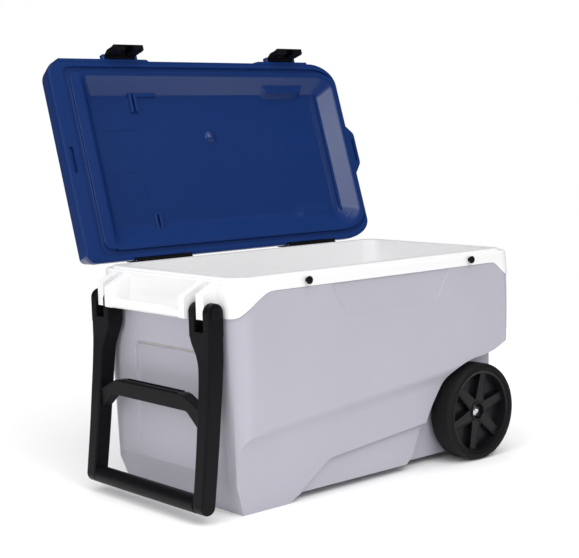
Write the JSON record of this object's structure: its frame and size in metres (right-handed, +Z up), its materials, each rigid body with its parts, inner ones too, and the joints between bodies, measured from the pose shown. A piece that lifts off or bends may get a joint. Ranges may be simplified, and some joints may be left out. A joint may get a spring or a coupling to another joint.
{
  "type": "wheeled cooler",
  "caption": "Hard-sided wheeled cooler with a hinged lid, swing-down tow handle, two latches, a drain and a pair of spoked wheels.",
  "frame": {"origin": "on the floor under the middle of the whole box, with the lid open and the handle hanging", "axes": "+X from the handle end to the wheel end, +Y from the latch side to the hinge side, +Z up"},
  "size_m": [0.8498, 0.614, 0.8674],
  "materials": {
    "grey_shell": "fine-grained moulded polyethylene",
    "white_liner": "smooth moulded plastic",
    "blue_lid": "satin moulded plastic",
    "black_plastic": "satin moulded plastic",
    "rim_black": "moulded plastic",
    "tyre_rubber": "ribbed tread",
    "seal_rubber": "soft rubber",
    "steel": "zinc plated",
    "foam": "rigid insulating foam"
  },
  "bodies": {
    "tub": {"tub_shell": "grey_shell", "tub_liner": "white_liner", "tub_insulation": "foam", "hinge_tub_leaf_left": "black_plastic", "hinge_tub_leaf_right": "black_plastic", "hinge_pin_left": "steel", "hinge_pin_right": "steel", "tub_hinge_screw_left_1": "steel", "tub_hinge_screw_left_2": "steel", "tub_hinge_screw_right_1": "steel", "tub_hinge_screw_right_2": "steel", "latch_stud_left": "black_plastic", "latch_stud_right": "black_plastic", "handle_pin_front": "black_plastic", "handle_pin_rear": "black_plastic", "axle_bolt_front": "steel", "axle_bolt_rear": "steel", "axle_washer_front": "steel", "axle_washer_rear": "steel", "axle_plate_front": "steel", "axle_plate_rear": "steel", "axle_nut_front": "steel", "axle_nut_rear": "steel", "drain_spout": "black_plastic", "drain_nut": "black_plastic", "drain_gasket": "seal_rubber"},
    "lid": {"lid_shell": "blue_lid", "lid_liner": "blue_lid", "lid_insulation": "foam", "hinge_lid_leaf_left": "black_plastic", "hinge_lid_leaf_right": "black_plastic", "lid_hinge_screw_left_1": "steel", "lid_hinge_screw_left_2": "steel", "lid_hinge_screw_right_1": "steel", "lid_hinge_screw_right_2": "steel", "latch_pin_left": "steel", "latch_pin_right": "steel"},
    "latch_left": {"latch_left": "black_plastic"},
    "latch_right": {"latch_right": "black_plastic"},
    "pull_handle": {"handle_frame": "black_plastic", "handle_grip": "black_plastic"},
    "wheel_front": {"wheel_rim_front": "rim_black", "wheel_tyre_front": "tyre_rubber"},
    "wheel_rear": {"wheel_rim_rear": "rim_black", "wheel_tyre_rear": "tyre_rubber"},
    "drain_cap": {"drain_cap": "black_plastic"}
  },
  "joints": [
    {"name": "lid_hinge", "type": "hinge", "parent": "tub", "child": "lid", "pos_m": [0.01343, 0.13398, 0.4326], "axis": [1, 0, 0], "range_deg": [0, 107.5]},
    {"name": "latch_left_swing", "type": "hinge", "parent": "lid", "child": "latch_left", "pos_m": [-0.19357, 0.27257, 0.84238], "axis": [-1, 0, 0], "range_deg": [0, 110]},
    {"name": "latch_right_swing", "type": "hinge", "parent": "lid", "child": "latch_right", "pos_m": [0.24993, 0.27257, 0.84238], "axis": [-1, 0, 0], "range_deg": [0, 110]},
    {"name": "handle_swing", "type": "hinge", "parent": "tub", "child": "pull_handle", "pos_m": [-0.38207, -0.08562, 0.374], "axis": [0, 1, 0], "range_deg": [0, 100]},
    {"name": "wheel_front_spin", "type": "hinge", "parent": "tub", "child": "wheel_front", "pos_m": [0.28293, -0.27442, 0.1], "axis": [0, 1, 0], "continuous": true},
    {"name": "wheel_rear_spin", "type": "hinge", "parent": "tub", "child": "wheel_rear", "pos_m": [0.28293, 0.10318, 0.1], "axis": [0, 1, 0], "continuous": true},
    {"name": "drain_cap_turn", "type": "hinge", "parent": "tub", "child": "drain_cap", "pos_m": [0.39173, -0.08562, 0.069], "axis": [1, 0, 0], "range_deg": [0, 720]}
  ]
}
